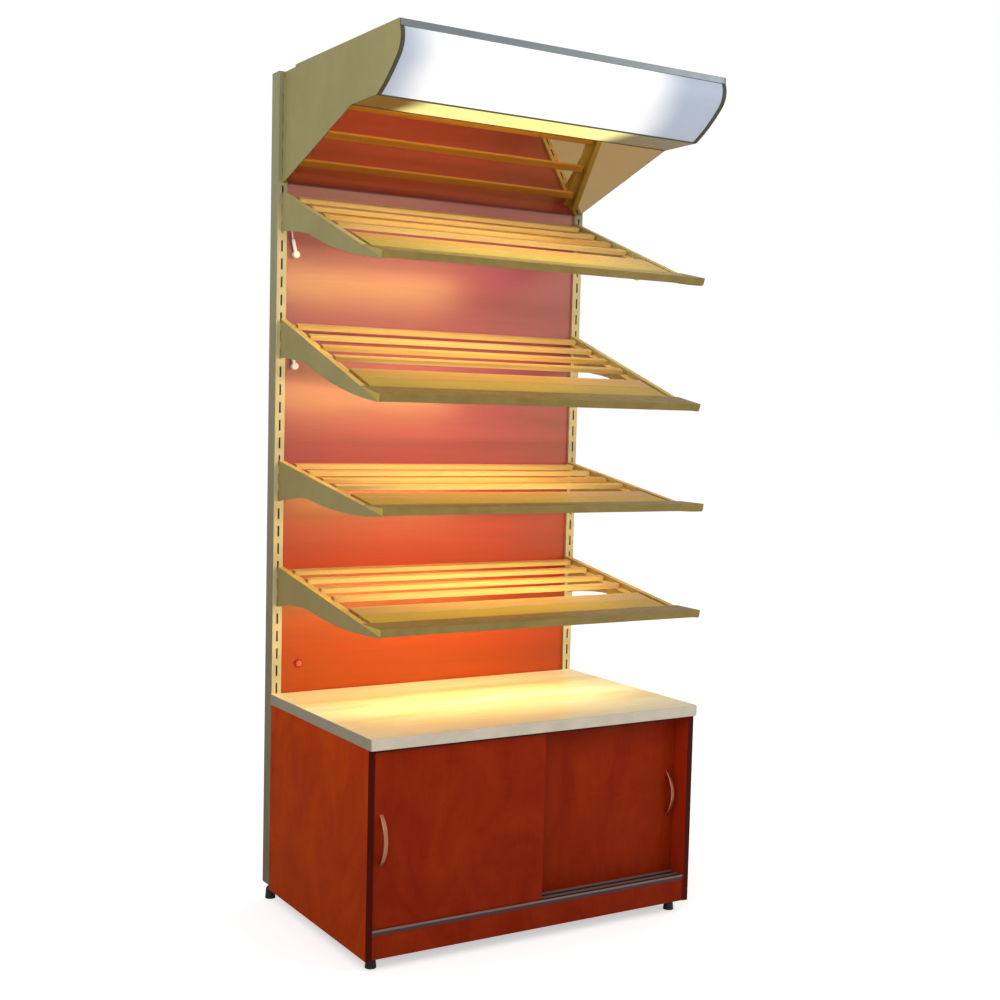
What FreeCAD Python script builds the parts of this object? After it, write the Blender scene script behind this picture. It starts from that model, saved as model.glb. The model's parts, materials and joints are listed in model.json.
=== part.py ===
import FreeCAD, Part
import math
import os
from FreeCAD import Vector

# Bakery bread rack: two slotted uprights with a back panel, a lit canopy with a mirror,
# four slatted shelves on hooked brackets, and a cabinet with two sliding doors.
# X runs along the rack, +Y to its back, +Z up. The origin lies on the floor, in the middle
# of the rack's outline. All lengths are in millimetres.
# "forward" is the distance in front of the uprights' front faces.

# ---- uprights and back panel ----
module_width = 1000.0            # from one slot row to the other
upright_width = 30.0
upright_depth = 50.0
upright_wall = 2.0
upright_top = 2345.0
upright_lift = 45.0              # floor to the underside of the uprights
foot_height = 33.0               # floor to the underside of the cabinet
slot_pitch = 50.0
slot_height = 30.0
slot_width = 5.0
slot_top_margin = 40.0           # least height of upright above the top slot's centre
first_slot = 24.0                # centre of the lowest slot above the upright's lower end
end_plate = 4.0
cap_height = 8.0
cap_lip = 1.5
panel_thickness = 16.0
panel_recess = 8.0               # panel face behind the uprights' front faces
panel_bottom = 60.0
panel_top_drop = 5.0             # panel's upper edge below the upright's top
rail_height = 40.0
rail_depth = 20.0
rail_wall = 2.0
rail_inset = 50.0                # lowest and highest rail's centre from the panel's edges

# ---- hooks ----
plate = 3.0                      # bracket and hook plate thickness
hook_lip = 4.0
hook_drop = 8.0
hook_tab = 20.0
fit_gap = 0.3                    # clearance where a piece fits into or behind another
seat_gap = 0.5                   # plates stand this far in front of the uprights

# ---- canopy ----
canopy_rise = 76.0               # canopy's top above the top slot's centre
canopy_reach = 696.0
canopy_rear = 4.0
side_sheet = 2.0
roof_sheet = 1.5
roof_step_forward = 74.0
roof_step = 6.5
roof_front = 687.0
roof_front_drop = 3.0
nose_top_forward = 691.0
nose_bend_forward = 679.0
nose_foot_forward = 574.0
nose_top_drop = 20.0             # drops are below the canopy's top
nose_bulge_drop = 43.0
nose_bend_drop = 84.0
nose_foot_drop = 161.4
strip_rear = 430.5               # rear edge of the flat light strip
mirror_rear_forward = 7.2
mirror_rear_drop = 299.4
diffuser = 3.0
diffuser_inset = 2.0
front_profile_depth = 15.0
front_profile_wall = 2.0
front_profile_edge = 1.6
trim_width = 6.0
trim_height = 5.0
end_trim_width = 10.0            # along the diffuser's ends
end_trim_inset = 0.4
end_trim_sheet = 1.5
mirror_thickness = 4.0
mirror_edge_gap = 1.2
backing = 2.0
tray_sheet = 1.2
tray_forward = 530.0
tray_fold_drop = 90.0
tray_rear = 440.0
tray_top_gap = 4.0
hook_plate_depth = 10.0
hook_plate_drop = 15.0
hook_plate_length = 284.0
canopy_slots = (4, 2, 0)         # slots that the canopy hooks into, counted down from the top one

# ---- lamps ----
tube_diameter = 16.0
tube_length = 849.0
batten_length = 900.0
batten_width = 40.0
batten_height = 24.0
batten_wall = 1.5
holder_thickness = 12.0
holder_width = 22.0
holder_cover = 2.0               # lampholder beyond the tube
tube_stand = 20.0                # tube centre from the batten's face
front_batten_rise = 35.0         # front batten's centre above the tray's fold
shelf_lamp_width = 56.0
shelf_lamp_height = 14.0
shelf_lamp_along = 443.0         # middle of the lamp, under the shelf's front board
shelf_lamp_drop = 18.0
shelf_tube_stand = 10.0
supply_box_length = 26.0         # small box at the shelf's rear, where the lead enters
supply_box_along = 25.0
supply_box_width = 46.5
supply_box_height = 16.0
duct_width = 14.0                # along the left bracket, from the supply box to the lamp
duct_height = 12.0

# ---- shelves ----
steep_tilt = 20.3
flat_tilt = 9.6
steep_rise = 48.0                # top of the bracket above its upper hook's slot centre
flat_rise = 50.0
steep_shelf_slots = (6, 13)      # upper hook's slot of both upper shelves, counted down from the top
flat_shelf_slots = (24, 18)      # of both lower shelves, counted up from the bottom
shelf_length = 661.0             # along the slope, to the rail's front face
bracket_depth = 129.0
bracket_waist = 60.0
waist_along = 216.0
bracket_tip = 3.0
heel_sag = 6.0
belly_sag = 14.0
flange_width = 17.0
flange_sheet = 2.0
ledge_drop = 14.0
ledge_width = 27.0
slat_width = 20.0
slat_thickness = 14.0
slat_edge = 2.0
slat_starts = (34.0, 125.0, 216.0, 301.0)
front_slat_start = 410.0
front_slat_width = 66.0
slat_end_gap = 14.5
rail_sheet = 2.0
rail_ledge_start = 480.0
rail_lip_start = 549.0
rail_lip_width = 6.0
rail_lip_height = 3.0
rail_nose_rise = 18.5
rail_nose_fall = 0.0
strip_sheet = 1.5

# ---- lamp leads ----
lead_diameter = 5.0
lead_run_share = 0.4             # first and last run of a lead, as a share of its span
plug_diameter = 10.0
plug_length = 38.0
socket_diameter = 20.0
socket_depth = 14.0
socket_inset = 28.0              # from the left upright
socket_drops = (169.0, 131.0)    # socket centres of the two upper shelves below their top lines
plug_lean = 13.0

# ---- cabinet ----
cabinet_depth = 628.0
board = 18.0
back_board = 8.0
worktop_top = 603.0
worktop_thickness = 30.0
worktop_depth = 644.0
worktop_overhang = 2.0
worktop_corner = 9.0
band = 2.0
band_edge = 1.6
cabinet_floor = 94.0
plinth_thickness = 16.0
plinth_setback = 3.0
inner_shelf_height = 338.0
inner_shelf_front = 520.0
shelf_gap = 1.0                  # inner shelf to the boards around it
pin_diameter = 5.0
pin_length = 20.0
pin_inset = 60.0
track_sheet = 2.0
bottom_track_height = 15.0
top_track_height = 9.0
door_thickness = 16.0
front_door_face = 621.0
rear_door_face = 570.0
door_side_gap = 1.0
door_overlap = 35.0
door_track_gap = 3.0             # door to the track's ribs, each side
door_bottom = 103.0
door_top = 567.0
door_edge = 1.0
glide_length = 40.0
glide_inset = 45.0
glide_stem = 6.0
glide_clearance = 1.0            # glide to the track's ribs, each side
glide_stem_height = 12.0
handle_low_height = 270.0
handle_length = 134.0
handle_reach = 30.0
handle_width = 12.0
handle_root = 12.0
handle_waist = 8.0
handle_edge = 2.4
handle_inset = 23.0              # handle's centre line from the door's outer edge
foot_diameter = 30.0
foot_pad = 20.0
upright_foot_pad = 28.0
foot_taper = 2.0                 # pad's upper edge inside its lower one
foot_neck = 6.0                  # cone above the pad
foot_shoulder = 4.0
stem_diameter = 10.0
stem_clearance = 0.3
cabinet_stem_top = 90.0
upright_stem_top = 70.0
foot_inset_side = 36.0
foot_forward = 587.0

# ---- switch ----
switch_inset = 54.5              # from the left upright
switch_height = 685.0
bezel_diameter = 26.0
bezel_thickness = 3.0
barrel_diameter = 21.0
barrel_length = 26.0
button_diameter = 17.0
button_stand = 6.0
button_travel = 3.0
button_length = 16.0

# ---- places worked out from the sizes above ----
half_module = module_width / 2
outer_half = half_module + upright_width / 2
inner_half = half_module - upright_width / 2
post_face_y = (canopy_reach - upright_depth) / 2
upright_bottom = upright_lift
slot_length = upright_top - slot_top_margin - upright_bottom - first_slot
slot_count = math.floor(slot_length / slot_pitch) + 1
canopy_top = upright_bottom + first_slot + (slot_count - 1) * slot_pitch + canopy_rise
nose_top = Vector(0, nose_top_forward, canopy_top - nose_top_drop)
nose_bulge = Vector(0, canopy_reach, canopy_top - nose_bulge_drop)
nose_bend = Vector(0, nose_bend_forward, canopy_top - nose_bend_drop)
nose_foot = Vector(0, nose_foot_forward, canopy_top - nose_foot_drop)
mirror_rear_height = canopy_top - mirror_rear_drop
tray_height = canopy_top - tray_fold_drop
panel_top = upright_top - panel_top_drop
switch_across = inner_half - switch_inset
socket_across = inner_half - socket_inset
plate_inner = half_module - plate / 2
plate_outer = half_module + plate / 2
canopy_inner = plate_inner - side_sheet
carcass_top = worktop_top - worktop_thickness
board_inner = outer_half - board
plinth_front = cabinet_depth - plinth_setback
front_track_rib = front_door_face + door_track_gap
rear_track_rib = rear_door_face - door_thickness - door_track_gap
roof_front_height = canopy_top - roof_front_drop
roof_step_height = canopy_top + roof_step
mirror_length = math.hypot(strip_rear - mirror_rear_forward, nose_foot.z - mirror_rear_height)
mirror_normal = Vector(0, -(nose_foot.z - mirror_rear_height) / mirror_length,
                       (strip_rear - mirror_rear_forward) / mirror_length)
door_width = board_inner - door_side_gap + door_overlap / 2


def place(across, forward, height):
    """A point from its distance in front of the uprights and its height."""
    return Vector(across, post_face_y - forward, height)


def slot_height_at(number):
    """Centre height of a slot, counted from 1 at the bottom."""
    return upright_bottom + first_slot + (number - 1) * slot_pitch


def box(x0, x1, forward0, forward1, z0, z1):
    """A box between two values of X, forward distance and height."""
    return Part.makeBox(x1 - x0, forward1 - forward0, z1 - z0, place(x0, forward1, z0))


def extrude_edges(edges, x0, x1):
    """A prism along X from closed edges that lie in the plane X = 0."""
    face = Part.Face(Part.Wire(edges))
    face.translate(Vector(x0, 0, 0))
    return face.extrude(Vector(x1 - x0, 0, 0))


def prism(points, x0, x1):
    """A prism along X from (forward, height) corners."""
    corners = [place(0, forward, height) for forward, height in points]
    return extrude_edges(Part.makePolygon(corners + corners[:1]).Edges, x0, x1)


def round_along_x(shape, radius):
    """Rounds every straight edge that runs along X."""
    edges = [e for e in shape.Edges if abs(e.tangentAt(e.FirstParameter).x) > 0.99]
    return shape.makeFillet(radius, edges)


def folded(points, sheet):
    """Corners of a folded sheet whose one face follows the points; the sheet lies at their left."""
    normals = []
    for (a0, b0), (a1, b1) in zip(points, points[1:]):
        length = math.hypot(a1 - a0, b1 - b0)
        normals.append((-(b1 - b0) / length, (a1 - a0) / length))
    offsets = []
    for index, (a, b) in enumerate(points):
        before = normals[max(index - 1, 0)]
        after = normals[min(index, len(normals) - 1)]
        scale = sheet / (1 + before[0] * after[0] + before[1] * after[1])
        offsets.append((a + (before[0] + after[0]) * scale, b + (before[1] + after[1]) * scale))
    return list(points) + offsets[::-1]


def cylinder(radius, length, start, direction):
    return Part.makeCylinder(radius, length, start, direction)


def mirrored(shape):
    return shape.mirror(Vector(0, 0, 0), Vector(1, 0, 0))


def save(name, shapes):
    """Writes one node, as one solid or as a group of separate solids."""
    parts = shapes if isinstance(shapes, list) else [shapes]
    solids = [solid for part in parts for solid in part.Solids]
    shape = solids[0] if len(solids) == 1 else Part.makeCompound(solids)
    assert shape.isValid(), name
    shape.exportStep("parts/" + name + ".step")


def hook(slot_number, rear):
    """A plate's hook: a tab through the slot with a lip behind the upright's front wall."""
    centre = slot_height_at(slot_number)
    rest = centre - slot_height / 2
    wall_back = -upright_wall - fit_gap
    outline = [(rear, rest), (wall_back, rest), (wall_back, rest - hook_drop),
               (wall_back - hook_lip, rest - hook_drop), (wall_back - hook_lip, rest + hook_tab),
               (rear, rest + hook_tab)]
    return prism(outline, plate_inner, plate_outer)


# ---- back frame ----
def make_upright():
    outer = box(inner_half, outer_half, -upright_depth, 0, upright_bottom, upright_top)
    hollow = box(inner_half + upright_wall, outer_half - upright_wall,
                 -upright_depth + upright_wall, -upright_wall,
                 upright_bottom + end_plate, upright_top)
    slots = [box(half_module - slot_width / 2, half_module + slot_width / 2,
                 -upright_wall - 1, 1,
                 slot_height_at(n) - slot_height / 2, slot_height_at(n) + slot_height / 2)
             for n in range(1, slot_count + 1)]
    stem_hole = cylinder(stem_diameter / 2 + stem_clearance, 3 * end_plate,
                         place(half_module, -upright_depth / 2, upright_bottom - end_plate),
                         Vector(0, 0, 1))
    outer = round_upright(outer)
    return outer.cut(hollow).cut(Part.makeCompound(slots)).cut(stem_hole)


def round_upright(shape):
    """Rolls the box section's four long corners."""
    edges = [e for e in shape.Edges if abs(e.tangentAt(e.FirstParameter).z) > 0.99]
    return shape.makeFillet(upright_wall, edges)


def make_cap():
    """Plastic cap: a plate on the upright's end with a plug inside it."""
    inside = upright_wall + fit_gap
    top = box(inner_half, outer_half, -upright_depth, 0, upright_top, upright_top + cap_lip)
    plug = box(inner_half + inside, outer_half - inside, -upright_depth + inside, -inside,
               upright_top - cap_height, upright_top)
    return top.fuse(plug)


def make_cross_rail(centre):
    front = -panel_recess - panel_thickness
    outer = box(-inner_half, inner_half, front - rail_depth, front,
                centre - rail_height / 2, centre + rail_height / 2)
    hollow = box(-inner_half, inner_half, front - rail_depth + rail_wall, front - rail_wall,
                 centre - rail_height / 2 + rail_wall, centre + rail_height / 2 - rail_wall)
    return outer.cut(hollow)


def make_back_panel():
    panel = box(-inner_half, inner_half, -panel_recess - panel_thickness, -panel_recess,
                panel_bottom, panel_top)
    hole = cylinder(barrel_diameter / 2 + fit_gap, panel_thickness + 2,
                    place(-switch_across, -panel_recess + 1, switch_height), Vector(0, 1, 0))
    return panel.cut(hole)


def build_frame():
    upright = make_upright()
    cap = make_cap()
    save("upright_right", upright)
    save("upright_left", mirrored(upright))
    save("upright_caps", [mirrored(cap), cap])
    low = panel_bottom + rail_inset
    high = panel_top - rail_inset
    save("cross_rails", [make_cross_rail(centre) for centre in (low, (low + high) / 2, high)])
    save("back_panel", make_back_panel())


# ---- canopy ----
def scaled_about(centre, radius, inset, point):
    """The point moved towards an arc's centre."""
    return centre + (point - centre) * ((radius - inset) / radius)


def nose_arcs(inset):
    """The nose's two tangent arcs, in the plane X = 0, moved inwards by the inset."""
    top, bulge, bend, foot = [place(0, p.y, p.z) for p in (nose_top, nose_bulge, nose_bend, nose_foot)]
    upper = Part.Arc(top, bulge, bend).toShape().Curve
    to_centre = (upper.Center - bend).normalize()
    chord = foot - bend
    lower_radius = chord.dot(chord) / (2 * chord.dot(to_centre))
    lower_centre = bend + to_centre * lower_radius
    middle = (bend + foot) / 2 - lower_centre
    belly = lower_centre + middle * (lower_radius / middle.Length)
    upper_points = [scaled_about(upper.Center, upper.Radius, inset, p) for p in (top, bulge, bend)]
    lower_points = [scaled_about(lower_centre, lower_radius, inset, p) for p in (bend, belly, foot)]
    return Part.Arc(*upper_points).toShape(), Part.Arc(*lower_points).toShape()


def joined(points):
    """Straight edges through the points, in order."""
    return [Part.makeLine(a, b) for a, b in zip(points, points[1:])]


def make_canopy_side():
    upper, lower = nose_arcs(0)
    start = upper.Vertexes[0].Point
    end = lower.Vertexes[-1].Point
    rest = [end, place(0, strip_rear, nose_foot.z), place(0, mirror_rear_forward, mirror_rear_height),
            place(0, canopy_rear, mirror_rear_height), place(0, canopy_rear, canopy_top),
            place(0, roof_step_forward, canopy_top), place(0, roof_step_forward, roof_step_height),
            place(0, roof_front, roof_front_height), place(0, nose_top.y, roof_front_height - roof_sheet),
            start]
    return extrude_edges([upper, lower] + joined(rest), canopy_inner, plate_inner)


def make_roof():
    front = roof_front - front_profile_depth
    front_height = roof_step_height + (roof_front_height - roof_step_height) * (
        (front - roof_step_forward) / (roof_front - roof_step_forward))
    top = [(canopy_rear, canopy_top), (roof_step_forward, canopy_top),
           (roof_step_forward, roof_step_height), (front, front_height)]
    return prism(folded(top[::-1], roof_sheet), -canopy_inner, canopy_inner)


def make_front_profile():
    """Hollow aluminium bar above the diffuser; its rear face carries the roof's edge."""
    rear = roof_front - front_profile_depth
    bottom = nose_top.z
    top = roof_front_height
    outer = box(-canopy_inner, canopy_inner, rear, nose_top.y - 1, bottom, top)
    hollow = box(-canopy_inner, canopy_inner, rear + front_profile_wall,
                 nose_top.y - 1 - front_profile_wall,
                 bottom + front_profile_wall, top - front_profile_wall)
    return round_along_x(outer, front_profile_edge).cut(hollow)


def nose_shell(inset, thickness, x0, x1):
    """A curved sheet that follows the nose's line at the given inset."""
    outer_upper, outer_lower = nose_arcs(inset)
    inner_upper, inner_lower = nose_arcs(inset + thickness)
    ends = [Part.makeLine(outer_upper.Vertexes[0].Point, inner_upper.Vertexes[0].Point),
            Part.makeLine(outer_lower.Vertexes[-1].Point, inner_lower.Vertexes[-1].Point)]
    edges = Part.sortEdges([outer_upper, outer_lower, inner_upper, inner_lower] + ends)[0]
    return extrude_edges(edges, x0, x1)


def make_front_diffuser():
    return nose_shell(diffuser_inset, diffuser, -canopy_inner, canopy_inner)


def make_light_strip():
    bottom = nose_foot.z
    return box(-canopy_inner, canopy_inner, strip_rear + trim_width, nose_foot.y - trim_width,
               bottom, bottom + diffuser)


def make_canopy_trims():
    """Slim bars at the nose's top and foot and the strip's rear edge, and a curved trim at each end."""
    bottom = nose_foot.z
    ledge = trim_height - diffuser
    top_trim = box(-canopy_inner, canopy_inner, nose_top.y - trim_width - 2 * diffuser,
                   nose_top.y - diffuser_inset - diffuser, nose_top.z - trim_height, nose_top.z)
    foot_trim = box(-canopy_inner, canopy_inner, nose_foot.y - trim_width, nose_foot.y - fit_gap,
                    bottom - ledge / 2, bottom + trim_height)
    rear_trim = box(-canopy_inner, canopy_inner, strip_rear + fit_gap, strip_rear + trim_width,
                    bottom - ledge / 2, bottom + trim_height)
    end_trim = nose_shell(end_trim_inset, end_trim_sheet, canopy_inner - end_trim_width, canopy_inner)
    end_trim = end_trim.cut(foot_trim)
    return [top_trim, foot_trim.cut(make_front_diffuser()), rear_trim, mirrored(end_trim), end_trim]


def mirror_plate(start, thickness):
    """A sheet parallel to the canopy's sloping underside, from the given height above it."""
    rear = Vector(0, mirror_rear_forward + mirror_edge_gap, mirror_rear_height)
    front = Vector(0, strip_rear - mirror_edge_gap, nose_foot.z)
    corners = [rear + mirror_normal * start, front + mirror_normal * start,
               front + mirror_normal * (start + thickness), rear + mirror_normal * (start + thickness)]
    return prism([(p.y, p.z) for p in corners], -canopy_inner, canopy_inner)


def make_lamp_tray():
    top = roof_front_height - roof_sheet - tray_top_gap
    outline = [(tray_rear, tray_height), (tray_forward, tray_height), (tray_forward, top)]
    return prism(folded(outline, tray_sheet), -canopy_inner, canopy_inner)


def make_canopy_hook_plate():
    top = canopy_top - hook_plate_drop
    edge = box(plate_inner, plate_outer, seat_gap, seat_gap + hook_plate_depth,
               top - hook_plate_length, top)
    for down in canopy_slots:
        edge = edge.fuse(hook(slot_count - down, seat_gap))
    return edge.removeSplitter()


def build_canopy():
    side = make_canopy_side()
    hook_plate = make_canopy_hook_plate()
    save("canopy_side_right", side)
    save("canopy_side_left", mirrored(side))
    save("canopy_roof", make_roof())
    save("canopy_front_profile", make_front_profile())
    save("front_diffuser", make_front_diffuser())
    save("downlight_diffuser", make_light_strip())
    save("diffuser_trims", make_canopy_trims())
    save("canopy_mirror", mirror_plate(0, mirror_thickness))
    save("mirror_backing", mirror_plate(mirror_thickness, backing))
    save("canopy_lamp_tray", make_lamp_tray())
    save("canopy_hook_plates", [mirrored(hook_plate), hook_plate])


# ---- lamps ----
class Mount:
    """A place for a lamp: a point on its carrier, the way out of it and the way across it."""

    def __init__(self, point, out, across):
        self.point = point
        self.out = out
        self.across = across


def oriented_box(mount, x0, x1, across0, across1, out0, out1):
    """A box in a lamp mount's own directions."""
    corner = mount.point + mount.across * across0 + mount.out * out0
    side = mount.across * (across1 - across0)
    rise = mount.out * (out1 - out0)
    points = [corner, corner + side, corner + side + rise, corner + rise, corner]
    return extrude_edges(Part.makePolygon(points).Edges, x0, x1)


def make_batten(mount):
    half = batten_length / 2
    outer = oriented_box(mount, -half, half, -batten_width / 2, batten_width / 2, 0, batten_height)
    hollow = oriented_box(mount, -half + batten_wall, half - batten_wall,
                          -batten_width / 2 + batten_wall, batten_width / 2 - batten_wall,
                          batten_wall, batten_height - batten_wall)
    return outer.cut(hollow)


def make_holders(mount, face, stand):
    """Both lampholders of a lamp, standing on the batten's face."""
    top = face + stand + tube_diameter / 2 + holder_cover
    inner = tube_length / 2
    holder = oriented_box(mount, inner, inner + holder_thickness,
                          -holder_width / 2, holder_width / 2, face, top)
    return [mirrored(holder), holder]


def make_tube(mount, face, stand):
    start = mount.point + mount.out * (face + stand) + Vector(-tube_length / 2, 0, 0)
    return cylinder(tube_diameter / 2, tube_length, start, Vector(1, 0, 0))


def canopy_mounts():
    front = Mount(place(0, tray_forward, tray_height + front_batten_rise), Vector(0, -1, 0), Vector(0, 0, 1))
    lower = Mount(place(0, (tray_rear + tray_forward) / 2, tray_height), Vector(0, 0, -1), Vector(0, 1, 0))
    return [front, lower]


class Shelf:
    """One shelf's slope. A point on it is given by its way along the slope and its height over it."""

    def __init__(self, number, slot_number, steep):
        self.number = number
        self.slot_number = slot_number
        self.tilt = math.radians(steep_tilt if steep else flat_tilt)
        self.top = slot_height_at(slot_number) + (steep_rise if steep else flat_rise)

    def at(self, along, over):
        """Forward distance and height of a point on the slope."""
        forward = along * math.cos(self.tilt) + over * math.sin(self.tilt)
        height = self.top - along * math.sin(self.tilt) + over * math.cos(self.tilt)
        return forward, height

    def point(self, across, along, over):
        forward, height = self.at(along, over)
        return place(across, forward, height)

    def prism(self, points, x0, x1):
        return prism([self.at(along, over) for along, over in points], x0, x1)

    def block(self, along0, along1, over0, over1, x0, x1):
        return self.prism([(along0, over0), (along1, over0), (along1, over1), (along0, over1)], x0, x1)

    def lamp_mount(self):
        out = self.point(0, 0, -1) - self.point(0, 0, 0)
        across = self.point(0, 1, 0) - self.point(0, 0, 0)
        return Mount(self.point(0, shelf_lamp_along, -shelf_lamp_drop), out, across)


def shelves():
    hung = [(slot_count - down, True) for down in steep_shelf_slots]
    hung += [(slot, False) for slot in flat_shelf_slots]
    return [Shelf(index + 1, slot, steep) for index, (slot, steep) in enumerate(hung)]


def supplied_shelves():
    """The shelves whose lamps have leads of their own."""
    return shelves()[:len(socket_drops)]


def make_shelf_lamp(shelf):
    """Slim closed housing between the two brackets of a shelf."""
    mount = shelf.lamp_mount()
    half = shelf_lamp_width / 2
    outer = oriented_box(mount, -plate_inner, plate_inner, -half, half, 0, shelf_lamp_height)
    hollow = oriented_box(mount, -plate_inner + batten_wall, plate_inner - batten_wall,
                          -half + batten_wall, half - batten_wall,
                          batten_wall, shelf_lamp_height - batten_wall)
    return outer.cut(hollow)


def shelf_case(shelf, along0, along1, width, height):
    """Thin-walled closed case below a shelf, against the inner face of its left bracket."""
    left = -plate_inner
    top = -shelf_lamp_drop
    outer = shelf.block(along0, along1, top - height, top, left, left + width)
    hollow = shelf.block(along0 + batten_wall, along1 - batten_wall,
                         top - height + batten_wall, top - batten_wall,
                         left + batten_wall, left + width - batten_wall)
    return outer.cut(hollow)


def make_lamp_supply(shelf):
    """The box that the lead enters, and the duct from it to the lamp housing."""
    box_end = supply_box_along + supply_box_length
    housing_rear = shelf_lamp_along - shelf_lamp_width / 2
    return [shelf_case(shelf, supply_box_along, box_end, supply_box_width, supply_box_height),
            shelf_case(shelf, box_end, housing_rear, duct_width, duct_height)]


def build_lamps():
    battens, holders, tubes, housings = [], [], [], []
    for mount in canopy_mounts():
        battens.append(make_batten(mount))
        holders += make_holders(mount, batten_height, tube_stand)
        tubes.append(make_tube(mount, batten_height, tube_stand))
    for shelf in shelves():
        mount = shelf.lamp_mount()
        housings.append(make_shelf_lamp(shelf))
        holders += make_holders(mount, shelf_lamp_height, shelf_tube_stand)
        tubes.append(make_tube(mount, shelf_lamp_height, shelf_tube_stand))
    for shelf in supplied_shelves():
        housings += make_lamp_supply(shelf)
    save("canopy_battens", battens)
    save("lampholders", holders)
    save("lamp_tubes", tubes)
    save("shelf_lamp_housings", housings)


# ---- shelves ----
def bulged_edge(start, end, sag):
    """An arc between two points of the bracket's lower edge; a positive sag bulges it downwards."""
    chord = end - start
    normal = Vector(0, chord.z, -chord.y).normalize()
    if normal.z > 0:
        normal = normal * -1
    return Part.Arc(start, (start + end) / 2 + normal * sag, end).toShape()


def make_bracket(shelf):
    """Right bracket: a hooked plate whose top edge is folded inwards and stepped into a ledge."""
    tip = shelf_length - rail_sheet - fit_gap
    back = -bracket_depth
    heel = shelf.point(0, back * math.tan(shelf.tilt), back)
    crown = shelf.point(0, back, 0)
    waist = shelf.point(0, waist_along, -bracket_waist)
    nose_low = shelf.point(0, tip, -bracket_tip)
    nose_high = shelf.point(0, tip, 0)
    edges = joined([nose_low, nose_high, crown, heel])
    edges.append(bulged_edge(heel, waist, -heel_sag))
    edges.append(bulged_edge(waist, nose_low, belly_sag))
    web = extrude_edges(Part.sortEdges(edges)[0], plate_inner, plate_outer)
    flange = shelf.block(back, tip, -flange_sheet, 0, plate_outer - flange_width, plate_outer)
    step_inner = plate_outer - flange_width
    ledge_end = rail_lip_start + rail_lip_width
    step = shelf.block(back, ledge_end, -ledge_drop - flange_sheet, 0, step_inner, step_inner + flange_sheet)
    ledge = shelf.block(back, ledge_end, -ledge_drop - flange_sheet, -ledge_drop,
                        step_inner - ledge_width, step_inner + flange_sheet)
    body = web.fuse([flange, step, ledge])
    behind = box(0, outer_half, -2 * bracket_depth, seat_gap, shelf.top - 4 * bracket_depth,
                 shelf.top + 2 * bracket_depth)
    body = body.cut(behind)
    hooks = [hook(shelf.slot_number, seat_gap), hook(shelf.slot_number - 1, seat_gap)]
    return body.fuse(hooks).removeSplitter()


def make_slats(shelf):
    half = plate_outer - flange_width - slat_end_gap
    places = [(start, slat_width) for start in slat_starts] + [(front_slat_start, front_slat_width)]
    slats = []
    for start, width in places:
        slat = shelf.block(start, start + width, -ledge_drop, slat_thickness - ledge_drop, -half, half)
        slats.append(slat.makeFillet(slat_edge, slat.Edges))
    return slats


def make_front_rail(shelf):
    """Folded front rail: foot on the ledges, flat shelf, raised lip, rising nose and front face."""
    inner = plate_outer - flange_width - slat_end_gap
    nose_start = rail_lip_start + rail_lip_width
    nose_front = shelf_length
    flat = [(rail_ledge_start, -ledge_drop), (rail_ledge_start, 0), (nose_start, 0)]
    shelf_part = shelf.prism(folded(flat, -rail_sheet), -inner, inner)
    lip = shelf.block(rail_lip_start, nose_start, -rail_sheet, rail_lip_height, -inner, inner)
    nose = [(nose_start, rail_sheet), (nose_front, rail_nose_rise), (nose_front, -rail_nose_fall)]
    nose_part = shelf.prism(folded(nose, -rail_sheet), -plate_outer, plate_outer)
    base = shelf.block(nose_start - rail_sheet, nose_start + 2 * rail_lip_width, fit_gap,
                       rail_sheet, -plate_outer, plate_outer)
    wedge = [(nose_start, fit_gap), (nose_start, rail_sheet), (nose_front, rail_nose_rise),
             (nose_front, fit_gap)]
    cheek = shelf.prism(wedge, plate_outer - rail_sheet, plate_outer)
    rail = shelf_part.fuse([lip, base, nose_part, cheek, mirrored(cheek)])
    return rail.removeSplitter()


def make_ticket_strip(shelf):
    """Dark strip that is clipped over the rail's nose and its front face."""
    nose_start = rail_lip_start + rail_lip_width
    rise = rail_nose_rise - rail_sheet
    slope = rise / (shelf_length - nose_start)
    start = nose_start + rail_lip_width
    face = [(start, rail_sheet + slope * (start - nose_start)), (shelf_length, rail_nose_rise),
            (shelf_length, -rail_nose_fall)]
    return shelf.prism(folded(face, strip_sheet), -plate_outer, plate_outer)


def build_shelves():
    strips = []
    for shelf in shelves():
        bracket = make_bracket(shelf)
        save("bracket_right_%d" % shelf.number, bracket)
        save("bracket_left_%d" % shelf.number, mirrored(bracket))
        save("slats_%d" % shelf.number, make_slats(shelf))
        save("front_rail_%d" % shelf.number, make_front_rail(shelf))
        strips.append(make_ticket_strip(shelf))
    save("ticket_strips", strips)


# ---- lamp leads ----
def rounded_lead(points, diameter):
    """A round lead along straight runs joined by tangent arcs."""
    edges = []
    start = points[0]
    for before, corner, after in zip(points, points[1:], points[2:]):
        arriving = (corner - before).normalize()
        leaving = (after - corner).normalize()
        turn = arriving.getAngle(leaving)
        run = 0.45 * min((corner - before).Length, (after - corner).Length)
        radius = run / math.tan(turn / 2)
        print("lead radius %.1f" % radius)
        first = corner - arriving * run
        last = corner + leaving * run
        inwards = (leaving - arriving).normalize()
        middle = corner + inwards * (radius / math.cos(turn / 2) - radius)
        edges += [Part.makeLine(start, first), Part.Arc(first, middle, last).toShape()]
        start = last
    edges.append(Part.makeLine(start, points[-1]))
    path = Part.Wire(edges)
    direction = (points[1] - points[0]).normalize()
    section = Part.Wire(Part.makeCircle(diameter / 2, points[0], direction))
    lead = path.makePipeShell([section], True, False)
    expected = math.pi * diameter ** 2 / 4 * path.Length
    print("lead length %.1f, volume ratio %.4f" % (path.Length, lead.Volume / expected))
    return lead


def socket_centre(shelf):
    return place(-socket_across, -panel_recess, shelf.top - socket_drops[shelf.number - 1])


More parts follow.
